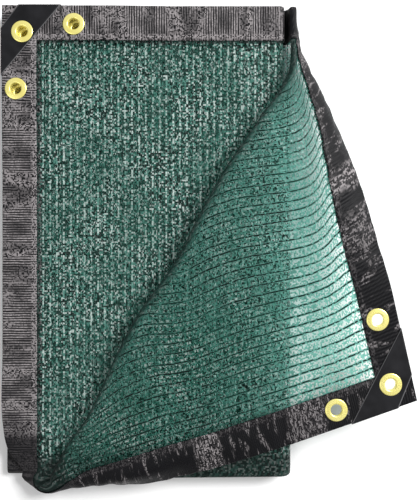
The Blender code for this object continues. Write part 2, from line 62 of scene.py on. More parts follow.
# Half thicknesses, from a sheet's middle outwards
PANEL_FACE = PANEL / 2
TAPE_INSIDE = PANEL_FACE + GAP
TAPE_FACE = TAPE_INSIDE + TAPE
PATCH_INSIDE = TAPE_FACE + GAP
PATCH_FACE = PATCH_INSIDE + PATCH
PANEL_INSET = 4.0  # from the cloth's edge to the panel's

# Heights of the sheets' middles, and the two folds
BASE_Z = TAPE_FACE
LOWER_Z = BASE_Z + SHEET_STEP
UPPER_Z = LOWER_Z + SHEET_STEP
TOP_Z = UPPER_Z + SHEET_STEP
FOLD_RADIUS = SHEET_STEP / 2
SPINE_RADIUS = SHEET_STEP  # to the middle between its two sheets
SPINE_X = WIDTH / 2 - SPINE_RADIUS - FOLD_RADIUS
SPINE_Z = (BASE_Z + TOP_Z) / 2
LEFT = -WIDTH / 2
BACK = LENGTH / 2
FOLD_DROP = LENGTH - FOLD_RADIUS  # from the back edge to where the front fold starts

# How the base sheet lies: its panel sags to the surface inside the tapes, and its corner stands
# on its eyelets, which lifts the corners of the sheets above it too
SAG = TAPE_INSIDE
SAG_RUN = 22.0
CORNER_LIFT = 2.0
LIFT_FLAT = 96.0
LIFT_RUN = 70.0
LOWER_SHIFT = (2.5, -2.0)  # how far the lower sheets' corners lie from the upper one's, X and Y
SHIFT_RUN = 165.0
RIPPLE = 0.7  # height of the soft waves in the upper sheet
RIPPLE_FADE = 40.0  # they fade out over this beside the tapes and the front fold
RIPPLE_SPINE_FADE = 30.0  # and over this beside the spine
RIPPLE_FRONT = 12.0  # where the fading starts at the front fold
RIPPLE_WAVES = [
    # share of the height, and the X and Y distances over which the wave turns by a radian
    (1.0, 17.0, 60.0),
    (0.6, -45.0, 31.0),
]

# The turned-back flap. The crease runs from the spine to the tongue at the front left. Each row
# is a place on it: drop of that row of cloth from the back edge, outermost point of the bend,
# the bend's radius, the height of its axis, and the part of the turn that the bend takes.
CREASE = [
    # drop, x, y, radius, axis z, turn from, turn to
    (0.0, 136.9, 222.0, 2.4, 12.5, 95, 262),
    (16.5, 136.6, 205.5, 2.4, 17.0, 88, 255),
    (33.0, 136.2, 189.0, 2.5, 21.3, 80, 245),
    (49.0, 135.6, 172.5, 3.0, 24.2, 68, 225),
    (67.0, 133.4, 156.5, 4.4, 26.5, 48, 195),
    (80.0, 127.5, 145.0, 5.6, 28.2, 28, 170),
    (95.0, 118.0, 131.0, 6.5, 28.8, 0, 152),
    (125.0, 97.5, 101.0, 7.5, 29.8, 0, 150),
    (155.0, 77.5, 72.0, 8.0, 30.3, 0, 150),
    (205.0, 49.0, 22.0, 8.5, 30.8, 0, 150),
    (248.0, 27.0, -21.0, 8.5, 30.8, 0, 150),
    (291.0, -4.5, -64.5, 8.0, 30.3, 0, 150),
    (344.0, -32.5, -117.5, 7.0, 29.3, 0, 150),
    (393.0, -56.0, -167.0, 5.5, 27.8, 0, 150),
    (418.0, -74.0, -192.0, 4.8, 27.1, 0, 150),
    (442.5, -89.0, -221.0, 4.0, 25.8, 0, 150),
]
PLAIN_DROP = 95.0  # from here forwards the top sheet comes right round the spine and lies flat
NEAR_DROP = 4.0  # how far to each side of a drop the crease's direction is read

# How far round the spine the top sheet has come, from lying flat, where the flap leaves it
SPINE_END = [
    # drop, degrees short of flat
    (0.0, 108.0),
    (16.5, 95.0),
    (33.0, 82.0),
    (49.0, 72.0),
    (67.0, 54.0),
    (80.0, 34.0),
    (95.0, 0.0),
]

# The flap's two bands of tape: each row is a place along the seam, the cloth's edge beside it,
# and how far the tape bows out between them
RIGHT_BAND = [
    # seam x, y, z, edge x, y, z, bow: from the spine to the flap's corner
    (140.8, 189.0, 22.3, 141.6, 222.0, 12.9, 0.0),
    (141.6, 176.0, 25.5, 144.0, 197.0, 7.5, 1.0),
    (143.4, 163.5, 29.5, 149.0, 177.0, 6.0, 2.5),
    (146.6, 151.5, 33.0, 156.5, 161.5, 6.5, 3.5),
    (152.8, 128.7, 38.0, 169.3, 135.5, 11.0, 4.0),
    (160.1, 100.6, 41.0, 180.0, 107.5, 17.0, 4.0),
    (165.7, 68.4, 42.5, 192.5, 74.5, 24.0, 3.5),
    (171.8, 36.6, 43.0, 202.4, 43.0, 31.0, 2.5),
    (181.5, -7.0, 43.0, 213.5, 0.0, 37.0, 1.5),
]
FRONT_BAND = [
    # seam x, y, z, edge x, y, z, bow: from the tongue to the flap's corner
    (-84.1, -233.4, 22.5, -79.0, -233.2, 10.0, 2.3),
    (-71.0, -224.4, 26.2, -65.5, -233.0, 11.5, 4.2),
    (-57.3, -214.5, 30.0, -53.0, -231.0, 12.0, 7.5),
    (-42.0, -209.0, 32.0, -38.5, -230.5, 14.5, 8.0),
    (-25.0, -203.5, 34.0, -21.0, -229.8, 18.0, 8.0),
    (-4.4, -196.5, 36.0, 1.0, -227.5, 23.0, 7.0),
    (23.4, -187.4, 37.0, 30.2, -220.0, 27.0, 4.0),
    (55.7, -177.7, 39.0, 63.5, -210.0, 34.0, 2.0),
    (92.3, -165.3, 40.5, 101.5, -197.0, 39.0, 1.0),
]
FLAP_CORNER = (248.5, -146.0)
FLAP_Z = 42.0
FLAP_FLAT = 100.0  # the flap is level as far as this from its corner
FLAP_FLAT_RUN = 50.0
FLAP_BACKWARD = (-0.22, 0.9755)  # along the right band, away from the corner
FLAP_LEFTWARD = (-0.9445, -0.3285)  # along the front band, away from the corner
CORNER_REACH = 72.0  # the bands are straight this far from the corner's seams
NEAR_SHARE = 0.02  # how far to each side of a place a band's direction is read
FLAP_CROWN = 7.0
CROWN_PEAK = 6.75  # brings the crown's curve, share * (1 - share) ** 2, up to 1
FLAP_DRAPE = 2.0  # how fast the right band's curve fades towards the front

# The cloth's four corners, each in its own sheet: its two edges run away from the corner
RIGHTWARD, FORWARD = (1.0, 0.0), (0.0, -1.0)
LOWER_CORNER = (LEFT + LOWER_SHIFT[0], BACK + LOWER_SHIFT[1])
CORNERS = {
    # sheet: corner x, y, sheet's middle z, direction of the first edge, of the second edge
    "upper": (LEFT, BACK, UPPER_Z + CORNER_LIFT, RIGHTWARD, FORWARD),
    "lower": (*LOWER_CORNER, LOWER_Z + CORNER_LIFT, RIGHTWARD, FORWARD),
    "base": (*LOWER_CORNER, BASE_Z + CORNER_LIFT, RIGHTWARD, FORWARD),
    "flap": (*FLAP_CORNER, FLAP_Z, FLAP_BACKWARD, FLAP_LEFTWARD),
}
STACK_EYELETS = [
    # name, distance along the first edge, along the second edge
    ("corner", 19.8, 25.4),
    ("back", 68.3, 18.0),
    ("left", 13.6, 79.1),
]
FLAP_EYELETS = [
    ("corner", 22.6, 20.6),
    ("back", 82.2, 19.0),
    ("left", 16.6, 74.0),
]
PATCHES = [
    # sheet, where the cut corner and the long side meet the first edge, and the second edge
    ("upper", 16.0, 56.0, 21.0, 66.0),
    ("lower", 18.0, 60.0, 18.0, 60.0),
    ("base", 18.0, 60.0, 18.0, 60.0),
    ("flap", 24.0, 67.6, 18.0, 63.0),
]

# The tongue: the end of the front fold, pulled out at the left under the flap
TONGUE_X = LEFT + 47.0
TONGUE_BEND = 8.0  # width of the crease's bend where it runs out round the front fold
TONGUE_SEAM_BULGE = (-9.0, -7.5)  # how far it stands out at the tape's seam, X and Y
TONGUE_EDGE_BULGE = (-8.5, -7.0)  # and at the tape's outer edge
TONGUE_TUCK = [
    # drop, share of the tape's width that still lies flat, sink
    (398.0, 1.0, 0.0),
    (424.0, 0.82, 1.2),
    (442.5, 0.45, 3.2),
]

# Columns of the panel's grid, from the flap's edge to the base sheet's edge
TAPE_COLUMNS = 2
FLAP_COLUMNS = 12
FLAP_SPACING = 1.5  # its columns lie closer towards the crease
BEND_COLUMNS = 4
FLAT_COLUMNS = 4
SPINE_COLUMNS = 7
BASE_COLUMNS = 4
SEAM = TAPE_COLUMNS
BEND = SEAM + FLAP_COLUMNS
FLAT = BEND + BEND_COLUMNS
SPINE = FLAT + FLAT_COLUMNS
BASE = SPINE + SPINE_COLUMNS
BASE_SEAM = BASE + BASE_COLUMNS
LAST = BASE_SEAM + TAPE_COLUMNS

UNDER_DROPS = (0.0, 16.5, 33.0, 96.0, 170.0, 250.0, 330.0, 395.0, 424.0, FOLD_DROP)
FOLD_ANGLES = (36, 72, 108, 144)
FLAP_ROWS = 16


def smooth(x):
    """0 below 0, 1 above 1 and a soft step between them."""
    x = np.clip(x, 0.0, 1.0)
    return x * x * (3 - 2 * x)


def hermite(a, leaving, b, arriving, t):
    """From a to b, leaving a and arriving at b in the given directions."""
    return (
        a * (1 + 2 * t) * (1 - t) ** 2
        + leaving * t * (1 - t) ** 2
        + b * t * t * (3 - 2 * t)
        + arriving * t * t * (t - 1)
    )


def through(stations, values, at):
    """A smooth curve through values at stations, read at one place."""
    stations, values = np.array(stations, float), np.array(values, float)
    slopes = np.gradient(values, stations, axis=0)
    at = min(max(at, stations[0]), stations[-1])
    k = min(int(np.searchsorted(stations, at, side="right")) - 1, len(stations) - 2)
    step = stations[k + 1] - stations[k]
    t = (at - stations[k]) / step
    return hermite(values[k], slopes[k] * step, values[k + 1], slopes[k + 1] * step, t)


def column(table, index, drop):
    """One column of a table, read smoothly between the drops in its first column."""
    return float(through([r[0] for r in table], [r[index] for r in table], drop))


# The flap's corner, and its two directions away from it, level
CORNER = np.array([*FLAP_CORNER, FLAP_Z])
BACKWARD, LEFTWARD = np.array([*FLAP_BACKWARD, 0.0]), np.array([*FLAP_LEFTWARD, 0.0])


def band_stations(table, along, across):
    """A band's rows, with its straight stretch beside the flap's corner added, and their run."""
    rows = [np.array(r) for r in table]
    for reach in (CORNER_REACH, CORNER_REACH / 2, 0.0):
        edge = CORNER + along * (reach + TAPE_WIDTH)
        rows.append(np.concatenate([edge + across * TAPE_WIDTH, edge, [0.0]]))
    rows = np.array(rows)
    steps = np.linalg.norm(np.diff(rows[:, :3], axis=0), axis=1)
    run = np.concatenate([[0], np.cumsum(steps)])
    return run / run[-1], rows


RIGHT_RUN = band_stations(RIGHT_BAND, BACKWARD, LEFTWARD)
FRONT_RUN = band_stations(FRONT_BAND, LEFTWARD, BACKWARD)


def band_point(run, share, out, side):
    """A point of a band: share along it, out 0 at the seam and 1 at the edge."""
    row = through(*run, share)
    ahead = through(*run, share + NEAR_SHARE)[:3] - through(*run, share - NEAR_SHARE)[:3]
    lateral = row[3:6] - row[:3]
    bow = np.cross(ahead, lateral) * side
    bow /= np.linalg.norm(bow)
    return row[:3] + lateral * out + bow * row[6] * 4 * out * (1 - out)


def right_band(share, out=0.0):
    """The flap's right band: share 0 at the spine, 1 at the corner."""
    return band_point(RIGHT_RUN, share, out, 1)


def front_band(share, out=0.0):
    """The flap's front band: share 0 at the tongue, 1 at the corner."""
    return band_point(FRONT_RUN, share, out, -1)


def crease_bend(drop):
    """(axis point, outward and upward directions, radius, first and last turn) of the bend."""
    x, y, radius, z, first, last = (column(CREASE, k, drop) for k in range(1, 7))
    after, before = (
        np.array([column(CREASE, k, near) for k in (1, 2, 4)])
        for near in (drop + NEAR_DROP, drop - NEAR_DROP)
    )
    ahead = after - before
    out = np.array([ahead[1], -ahead[0], 0.0])
    out /= np.linalg.norm(out)
    up = np.cross(ahead, out)
    up /= np.linalg.norm(up) * np.sign(up[2])
    axis = np.array([x, y, z]) - out * radius
    return axis, out, up, radius, math.radians(max(first, 0)), math.radians(last)


def bend_point(drop, share):
    """Round the crease's bend: share 0 where the lying part ends, 1 where the flap starts."""
    axis, out, up, radius, first, last = crease_bend(drop)
    turn = first + (last - first) * share
    return axis + radius * (out * math.sin(turn) - up * math.cos(turn))


def flap_row(drop, share):
    """A point of the flap: share 0 at the crease, 1 at the front band's seam."""
    run = (drop - TAPE_WIDTH) / (FOLD_DROP - TAPE_WIDTH)
    start, end = bend_point(drop, 1), front_band(1 - run)
    point = start + (end - start) * share
    first, last = right_band(0), right_band(1)
    curve = right_band(share) - (first + (last - first) * share)
    point = point + curve * (1 - run) ** FLAP_DRAPE
    point[2] += FLAP_CROWN * math.sin(math.pi * run) * share * (1 - share) ** 2 * CROWN_PEAK
    return level_out(point)


def level_out(point):
    """The flap is level beside its corner, where its eyelets are."""
    off = np.linalg.norm(point[:2] - CORNER[:2])
    share = 1 - smooth((off - FLAP_FLAT) / FLAP_FLAT_RUN)
    return np.array([point[0], point[1], point[2] + (FLAP_Z - point[2]) * share])


def flap_point(drop, col):
    """The top sheet's points on the flap, from its edge (column 0) to its crease."""
    across = TAPE_WIDTH * min(col, SEAM) / SEAM
    share = 1 - (max(0, col - SEAM) / FLAP_COLUMNS)
    share = share ** (1 + (FLAP_SPACING - 1) * (1 - smooth(drop / FOLD_DROP * 2 - 1)))
    if col == BEND:
        return bend_point(drop, 1)
    if drop < TAPE_WIDTH and col < SEAM:
        return CORNER + BACKWARD * across + LEFTWARD * drop
    if drop < TAPE_WIDTH:
        return level_out(right_band(share, 1 - drop / TAPE_WIDTH))
    if col < SEAM:
        run = (drop - TAPE_WIDTH) / (FOLD_DROP - TAPE_WIDTH)
        return level_out(front_band(1 - run, 1 - across / TAPE_WIDTH))
    return flap_row(drop, share)


def spine_point(n, y, angle):
    """Round the spine: angle 0 on the top leg, pi on the bottom one; n is the offset outwards."""
    radius = SPINE_RADIUS + n
    return np.array([SPINE_X + radius * math.sin(angle), y, SPINE_Z + radius * math.cos(angle)])


def section(row):
    """(y, offset outwards) of a row of the grid where the cloth is folded plainly."""
    kind, drop, angle = row
    if kind == "fold":
        return BACK - FOLD_DROP - FOLD_RADIUS * math.sin(angle), -FOLD_RADIUS * math.cos(angle)
    return BACK - drop, FOLD_RADIUS if kind == "top" else -FOLD_RADIUS


def spine_angle(row):
    """How far short of lying flat a row's cloth leaves the spine."""
    if row[0] != "top":
        return 0.0
    return math.radians(max(0.0, column(SPINE_END, 1, row[1])))


def settle(point):
    """Moves a point of the four sheets to where their weight and their corners put it."""
    x, y, z = point
    inside = smooth((x - LEFT - TAPE_WIDTH) / SAG_RUN) * smooth((BACK - TAPE_WIDTH - y) / SAG_RUN)
    from_corner = max(x - LEFT, BACK - y)
    lift = CORNER_LIFT * (1 - smooth((from_corner - LIFT_FLAT) / LIFT_RUN))
    below = 1 - smooth((z - BASE_Z) / (LOWER_Z - BASE_Z))
    lower = 1 - smooth((z - LOWER_Z) / (UPPER_Z - LOWER_Z))
    left = smooth((SPINE_X - x) / SHIFT_RUN)
    back = smooth((y + BACK) / LENGTH)
    x += LOWER_SHIFT[0] * lower * left
    y += LOWER_SHIFT[1] * lower * left * back
    return np.array([x, y, z - SAG * inside * below + lift])


def ripple(x, y):
    """Soft waves of the upper sheet, none at its tapes and folds."""
    inside = smooth((x - LEFT - TAPE_WIDTH) / RIPPLE_FADE)
    inside *= smooth((BACK - TAPE_WIDTH - y) / RIPPLE_FADE)
    inside *= smooth((SPINE_X - x) / RIPPLE_SPINE_FADE)
    inside *= smooth((y + BACK - RIPPLE_FRONT) / RIPPLE_FADE)
    return RIPPLE * inside * sum(h * math.sin(x / dx + y / dy) for h, dx, dy in RIPPLE_WAVES)


def upper_point(drop, col):
    """The upper sheet, which the flap leaves bare: flat, its edge tucked in by the tongue."""
    y = BACK - drop
    even = LEFT + TAPE_WIDTH + (SPINE_X - LEFT - TAPE_WIDTH) * (col - SEAM) / (SPINE - SEAM)
    if col >= FLAT:
        first = TONGUE_X + TONGUE_BEND
        close = first + (SPINE_X - first) * (col - FLAT) / FLAT_COLUMNS
    elif col >= BEND:
        close = TONGUE_X + TONGUE_BEND * (col - BEND) / BEND_COLUMNS
    else:
        close = LEFT + TAPE_WIDTH + (TONGUE_X - LEFT - TAPE_WIDTH) * (col - SEAM) / FLAP_COLUMNS
    near_fold = smooth((drop - TAPE_WIDTH) / (FOLD_DROP - TAPE_WIDTH))
    x = even + (close - even) * near_fold
    z = UPPER_Z
    if col < SEAM:
        flat, sink = (column(TONGUE_TUCK, k, drop) for k in (1, 2))
        out = 1 - col / SEAM
        x = LEFT + TAPE_WIDTH - TAPE_WIDTH * flat * out
        z -= sink * out
    return settle((x, y, z + ripple(x, y)))


def top_point(row, col):
    """The top sheet: flat as far as the crease, round its bend, and the flap."""
    drop = row[1]
    if col <= BEND:
        return flap_point(drop, col)
    if col < FLAT:
        return bend_point(drop, (FLAT - col) / BEND_COLUMNS)
    angle = spine_angle(row)
    leave = spine_point(FOLD_RADIUS, BACK - drop, angle)
    arrive = bend_point(drop, 0)
    _, out, up, _, first, _ = crease_bend(drop)
    span = np.linalg.norm(arrive - leave)
    heading = np.array([-math.cos(angle), 0.0, math.sin(angle)]) * span
    arriving = (out * math.cos(first) + up * math.sin(first)) * span
    if drop >= PLAIN_DROP:
        heading = arriving = arrive - leave
    return hermite(leave, heading, arrive, arriving, (SPINE - col) / FLAT_COLUMNS)


def fold_point(angle, col):
    """The front fold between the upper sheet and the top one, with the tongue at its left end."""
    low = upper_point(FOLD_DROP, col)
    high = top_point(("top", FOLD_DROP, 0.0), col)
    share = (1 - math.cos(angle)) / 2
    plain = np.array([0.0, -FOLD_RADIUS])
    if col >= FLAT:
        bulge = plain
    elif col >= SEAM:
        out = smooth((FLAT - col) / (FLAT - SEAM))
        bulge = plain + (np.array(TONGUE_SEAM_BULGE) - plain) * out
    else:
        seam, edge = np.array(TONGUE_SEAM_BULGE), np.array(TONGUE_EDGE_BULGE)
        bulge = edge + (seam - edge) * col / SEAM
    middle = low + (high - low) * share
    return middle + np.array([*bulge, 0.0]) * math.sin(angle)


def grid_point(row, col):
    """The middle of the cloth at a row and a column of the grid."""
    kind, drop, angle = row
    if col < SPINE:
        if kind == "under":
            return upper_point(drop, col)
        return fold_point(angle, col) if kind == "fold" else top_point(row, col)
    y, n = section(row)
    if col <= BASE:
        start = spine_angle(row)
        return settle(spine_point(n, y, start + (math.pi - start) * (col - SPINE) / SPINE_COLUMNS))
    seam = LEFT + TAPE_WIDTH
    if col <= BASE_SEAM:
        x = SPINE_X + (seam - SPINE_X) * (col - BASE) / BASE_COLUMNS
    else:
        x = seam - TAPE_WIDTH * (col - BASE_SEAM) / TAPE_COLUMNS
    return settle((x, y, SPINE_Z - SPINE_RADIUS - n))


def grid_rows():
    """(kind, drop, fold's angle) of each row: the upper sheet's, the front fold's, the flap's."""
    rows = [("under", drop, 0.0) for drop in UNDER_DROPS]
    rows += [("fold", FOLD_DROP, math.radians(a)) for a in FOLD_ANGLES]
    for k in range(FLAP_ROWS + 1):
        rows.append(("top", FOLD_DROP + (TAPE_WIDTH - FOLD_DROP) * k / FLAP_ROWS, 0.0))
    return rows + [("top", TAPE_WIDTH / 2, 0.0), ("top", 0.0, 0.0)]


ROWS = grid_rows()
TOP_ROW = len(UNDER_DROPS) + len(FOLD_ANGLES)  # the first row of the top sheet
MID_FOLD = TOP_ROW - (len(FOLD_ANGLES) + 1) / 2  # the middle of the front fold
COARSE = np.array([[grid_point(row, col) for col in range(LAST + 1)] for row in ROWS])

# The finer grid: how long the pieces may be that each coarse step is split into
ROW_STEP = 5.0
COLUMN_STEP = 7.0
HOLE_STEP = 2.75  # near the eyelets
NEAR_HOLES = 110.0  # how far from a corner that is
LONGEST_STEP = 60.0  # a longer coarse step is split as if it were this long
MOST_TURN = 1.5  # how far a curve carries into a longer step beside it
TAPE_SPLITS = 6  # of each of a tape's columns
TAPE_ROWS = 2  # coarse steps across a tape on the short sides

# Eyelets, and the openings in the cloth that their flanges hide
BARREL_R = 5.85
EYELET_SEGMENTS = 56
HOLE_CLEAR = 6.4  # faces nearer than this to an eyelet's axis are taken out
HOLE_R = 7.4  # and the opening's edge is then rounded to this
SHEET_REACH = 3.0  # how far a wall of cloth may be from its sheet's middle

# Cloth coordinates
DARK_COLUMNS = 3  # how far past the crease the flap gets painted shade
TURNED_OVER = 2.0  # the turn of cloth that lies on the flap
CLOTH_LENGTH = 892.0
RIB_PITCH = 6.5
FLAT_REACH = SPINE_X - LEFT
OUTER_SPINE = math.pi * (SPINE_RADIUS + FOLD_RADIUS)
INNER_SPINE = math.pi * (SPINE_RADIUS - FOLD_RADIUS)


def row_splits():
    """How many pieces each coarse step from row to row is split into."""
    counts = []
    for i, step in enumerate(np.linalg.norm(np.diff(COARSE, axis=0), axis=2).max(axis=1)):
        drop = min(ROWS[i][1], ROWS[i + 1][1])
        fine = ROWS[i][0] != "fold" and drop < NEAR_HOLES
        piece = HOLE_STEP if fine else ROW_STEP
        counts.append(max(2, math.ceil(min(step, LONGEST_STEP) / piece)))
    return counts


def column_splits():
    """How many pieces each coarse step from column to column is split into."""
    counts = []
    for j, step in enumerate(np.linalg.norm(np.diff(COARSE, axis=1), axis=2).max(axis=0)):
        if j < SEAM or j >= BASE_SEAM:
            counts.append(TAPE_SPLITS)
        elif j < SEAM + FLAP_COLUMNS // 2:
            counts.append(math.ceil(step / HOLE_STEP))
        else:
            counts.append(max(2, math.ceil(step / COLUMN_STEP)))
    return counts


def refined(grid, counts):
    """The grid with each step along its first axis split smoothly into counts pieces."""
    steps = np.linalg.norm(np.diff(grid, axis=0), axis=2).mean(axis=1)[:, None, None]
    rise = np.diff(grid, axis=0) / steps
    inner = (rise[:-1] * steps[1:] + rise[1:] * steps[:-1]) / (steps[:-1] + steps[1:])
    slopes = np.concatenate([rise[:1], inner, rise[-1:]])
    lines = []
    for i, count in enumerate(counts):
        before, after = steps[max(i - 1, 0)], steps[min(i + 1, len(steps) - 1)]
        leaving = rise[i] * steps[i] + (slopes[i] - rise[i]) * min(steps[i], before * MOST_TURN)
        arriving = rise[i] * steps[i] + (slopes[i + 1] - rise[i]) * min(steps[i], after * MOST_TURN)
        ends = grid[i], leaving, grid[i + 1], arriving
        lines += [hermite(*ends, k / count) for k in range(count)]
    return np.array(lines + [grid[-1]])


def coarse_places(counts):
    """Where each line of the finer grid lies, counted in coarse steps."""
    places = [i + k / count for i, count in enumerate(counts) for k in range(count)]
    return np.array(places + [float(len(counts))])


ROW_SPLITS, COLUMN_SPLITS = row_splits(), column_splits()
ROW_AT, COLUMN_AT = coarse_places(ROW_SPLITS), coarse_places(COLUMN_SPLITS)
FINE = refined(COARSE, ROW_SPLITS)
FINE = refined(FINE.transpose(1, 0, 2), COLUMN_SPLITS).transpose(1, 0, 2)
LAST_ROW, LAST_COLUMN = FINE.shape[0] - 1, FINE.shape[1] - 1

# Width of the finer grid's strips of cloth: at the back edge of the upper sheet, at the back
# edge of the flap, and at the long sides
FIRST_PITCH = TAPE_WIDTH / TAPE_ROWS / ROW_SPLITS[0]
FINAL_PITCH = TAPE_WIDTH / TAPE_ROWS / ROW_SPLITS[-1]
SIDE_PITCH = TAPE_WIDTH / TAPE_COLUMNS / TAPE_SPLITS


def sheet_normals(sheet):
    """The direction square to the cloth at each point of the grid."""
    normal = np.cross(np.gradient(sheet, axis=1), np.gradient(sheet, axis=0))
    return normal / np.linalg.norm(normal, axis=2, keepdims=True)


WAVE_PARTS = 3
WAVE_SPREAD = 22.0  # degrees by which the parts turn from the given direction
WAVE_LENGTHS = (0.7, 1.5)  # how long they are, beside the given length
WAVE_DRIFT = 1.4  # radians by which their crests wander, over distances of
WAVE_WANDER = (2, 4)  # this many times the length


def waves(points, direction, length, seed):
    """Uneven waves over the points, -1 to 1, that run in a direction given in degrees."""
    rng = np.random.default_rng(seed)
    total = 0
    for _ in range(WAVE_PARTS):
        turn = math.radians(direction) + math.radians(rng.uniform(-WAVE_SPREAD, WAVE_SPREAD))
        pitch = length * rng.uniform(*WAVE_LENGTHS)
        place = points[..., 0] * math.cos(turn) + points[..., 1] * math.sin(turn)
        slow = points[..., 0] * math.sin(turn) - points[..., 1] * math.cos(turn)
        start = rng.uniform(0, 2 * math.pi)
        drift = WAVE_DRIFT * np.sin(slow / (length * rng.uniform(*WAVE_WANDER)))
        total = total + np.sin(2 * math.pi * place / pitch + start + drift)
    return total / WAVE_PARTS


def cloth_coordinates():
    """(across, along, turn) of each point: turn is 0 on the stack, 1 past the crease, then 2."""
    rows, columns = FINE.shape[:2]
    length = np.linalg.norm(np.diff(FINE, axis=1), axis=2)
    run = np.concatenate([np.zeros((rows, 1)), np.cumsum(length, axis=1)], axis=1)
    at = {k: int(np.searchsorted(COLUMN_AT, k)) for k in (SEAM, BEND, BASE)}
    on_top = ROW_AT >= MID_FOLD
    spine = np.where(on_top, OUTER_SPINE, INNER_SPINE)[:, None]
    across = FLAT_REACH + spine - (run[:, at[BASE]][:, None] - run)
    seam, bend = run[:, [at[SEAM]]], run[:, [at[BEND]]]
    share = (run - seam) / (bend - seam)
    flap = TAPE_WIDTH + (across[:, [at[BEND]]] - TAPE_WIDTH) * share
    across = np.where(COLUMN_AT[None, :] < BEND, flap, across)
    across = np.where(COLUMN_AT[None, :] < SEAM, TAPE_WIDTH * COLUMN_AT / SEAM, across)
    reach = [0.0, FLAT_REACH - TAPE_WIDTH, FLAT_REACH]
    base = FLAT_REACH + spine + np.interp(COLUMN_AT, [BASE, BASE_SEAM, LAST], reach)
    across = np.where(COLUMN_AT[None, :] > BASE, base, across)
    stations = [along_of(row) for row in ROWS]
    along = np.interp(ROW_AT, range(len(ROWS)), stations)[:, None] + np.zeros((1, columns))
    bent = np.clip((FLAT - COLUMN_AT) / BEND_COLUMNS, 0, 1)
    beyond_bend = np.clip((BEND - COLUMN_AT) / DARK_COLUMNS, 0, 1)
    turn = (bent + beyond_bend)[None, :] * on_top[:, None]
    return np.stack([across, along, turn], axis=2)


def along_of(row):
    """Distance over the flat cloth from the back edge of the upper sheet to a row."""
    kind, drop, angle = row
    if kind == "under":
        return drop
    if kind == "fold":
        return FOLD_DROP + FOLD_RADIUS * angle
    return CLOTH_LENGTH - drop


CLOTH = cloth_coordinates()


# The uneven waves of the flap: its knit's soft folds, and the crinkles of its two bands
FLAP_FOLDS = [
    # height, direction in degrees, length, seed
    (0.9, 20.0, 55.0, 3),
    (0.22, 75.0, 21.0, 4),
]
RIGHT_CRINKLES = [
    (0.8, 0.0, 13.0, 5),
    (0.35, 25.0, 6.5, 6),
]
FRONT_CRINKLES = [
    (0.5, 90.0, 19.0, 7),
]
CORNER_CALM = 105.0  # there are none as far as this from the flap's corner
CORNER_FADE = 30.0
FOLDS_FADE = 20.0  # the folds fade in over this from the seams
CREASE_FADE = 1.5  # and over this many columns from the crease
BAND_FADE = 6.0  # the crinkles fade out over this past the seams
FRONT_FADE = 12.0  # and the front band's fade in over this from the right band
EDGE_FADE = 3.0  # the right band's fade in over this from its outer edge
EDGE_SHARE = 0.4  # and are not quite gone at the edge itself
SEAM_FADE = 0.4  # and over this many columns from the front band


def wave_sum(points, table):
    return sum(height * waves(points, *wave) for height, *wave in table)


def creased(sheet):
    """The sheet with the flap's soft folds and its bands' crinkles."""
    drop = np.where(ROW_AT >= TOP_ROW, CLOTH_LENGTH - CLOTH[:, 0, 1], 0)[:, None]
    top = (ROW_AT >= TOP_ROW)[:, None]
    col = COLUMN_AT[None, :]
    past_front, past_right = CLOTH[..., 0] - TAPE_WIDTH, drop - TAPE_WIDTH
    off_corner = np.linalg.norm(sheet[..., :2] - np.array(FLAP_CORNER), axis=2)
    loose = smooth((off_corner - CORNER_CALM) / CORNER_FADE)
    inside = smooth(past_front / FOLDS_FADE) * smooth(past_right / FOLDS_FADE)
    inside = inside * (col < BEND) * smooth((BEND - col) / CREASE_FADE)
    right = (1 - smooth(past_right / BAND_FADE)) * smooth(drop / EDGE_FADE + EDGE_SHARE)
    right = right * (col < FLAT) * smooth((col - SEAM) / SEAM_FADE)
    front = (1 - smooth(past_front / BAND_FADE)) * smooth(past_right / FRONT_FADE)
    rise = inside * wave_sum(sheet, FLAP_FOLDS) + right * wave_sum(CLOTH, RIGHT_CRINKLES)
    rise = rise + front * wave_sum(CLOTH, FRONT_CRINKLES)
    return sheet + sheet_normals(sheet) * (rise * top * loose)[..., None]


FINE = creased(FINE)
NORMALS = sheet_normals(FINE)


def corner_frame(sheet):
    """A corner of the cloth, and the directions of its two edges."""
    x, y, z, first, second = CORNERS[sheet]
    return np.array([x, y, z]), np.array([*first, 0.0]), np.array([*second, 0.0])


def eyelet_places(sheet):
    """(name, middle) of each eyelet at a corner of the cloth."""
    corner, first, second = corner_frame(sheet)
    table = FLAP_EYELETS if sheet == "flap" else STACK_EYELETS
    return [(name, corner + first * a + second * b) for name, a, b in table]


AXES = [place for sheet in CORNERS for _, place in eyelet_places(sheet)]


def at_place(grid, row, col):
    """The finer grid's value at a row and a column that may lie between its own."""
    i = min(int(row), grid.shape[0] - 2)
    j = min(int(col), grid.shape[1] - 2)
    u, v = row - i, col - j
    near = grid[i, j] * (1 - v) + grid[i, j + 1] * v
    far = grid[i + 1, j] * (1 - v) + grid[i + 1, j + 1] * v
    return near * (1 - u) + far * u


def new_object(name, points, faces, cloth, mat):
    """A smooth object, with its points' cloth coordinates kept for its material."""
    mesh = bpy.data.meshes.new(name)
    mesh.from_pydata([tuple(p * MM) for p in points], [], faces)
    if cloth is not None:
        store = mesh.attributes.new("cloth", "FLOAT_VECTOR", "POINT")
        store.data.foreach_set("vector", np.array(cloth, dtype=float).ravel())
    mesh.materials.append(mat)
    mesh.shade_smooth()
    o = bpy.data.objects.new(name, mesh)
    bpy.context.scene.collection.objects.link(o)
    return o


def face_outwards(o):
    """Turns the faces of a closed piece outwards."""
    bm = bmesh.new()
    bm.from_mesh(o.data)
    bmesh.ops.recalc_face_normals(bm, faces=bm.faces)
    bm.to_mesh(o.data)
    bm.free()


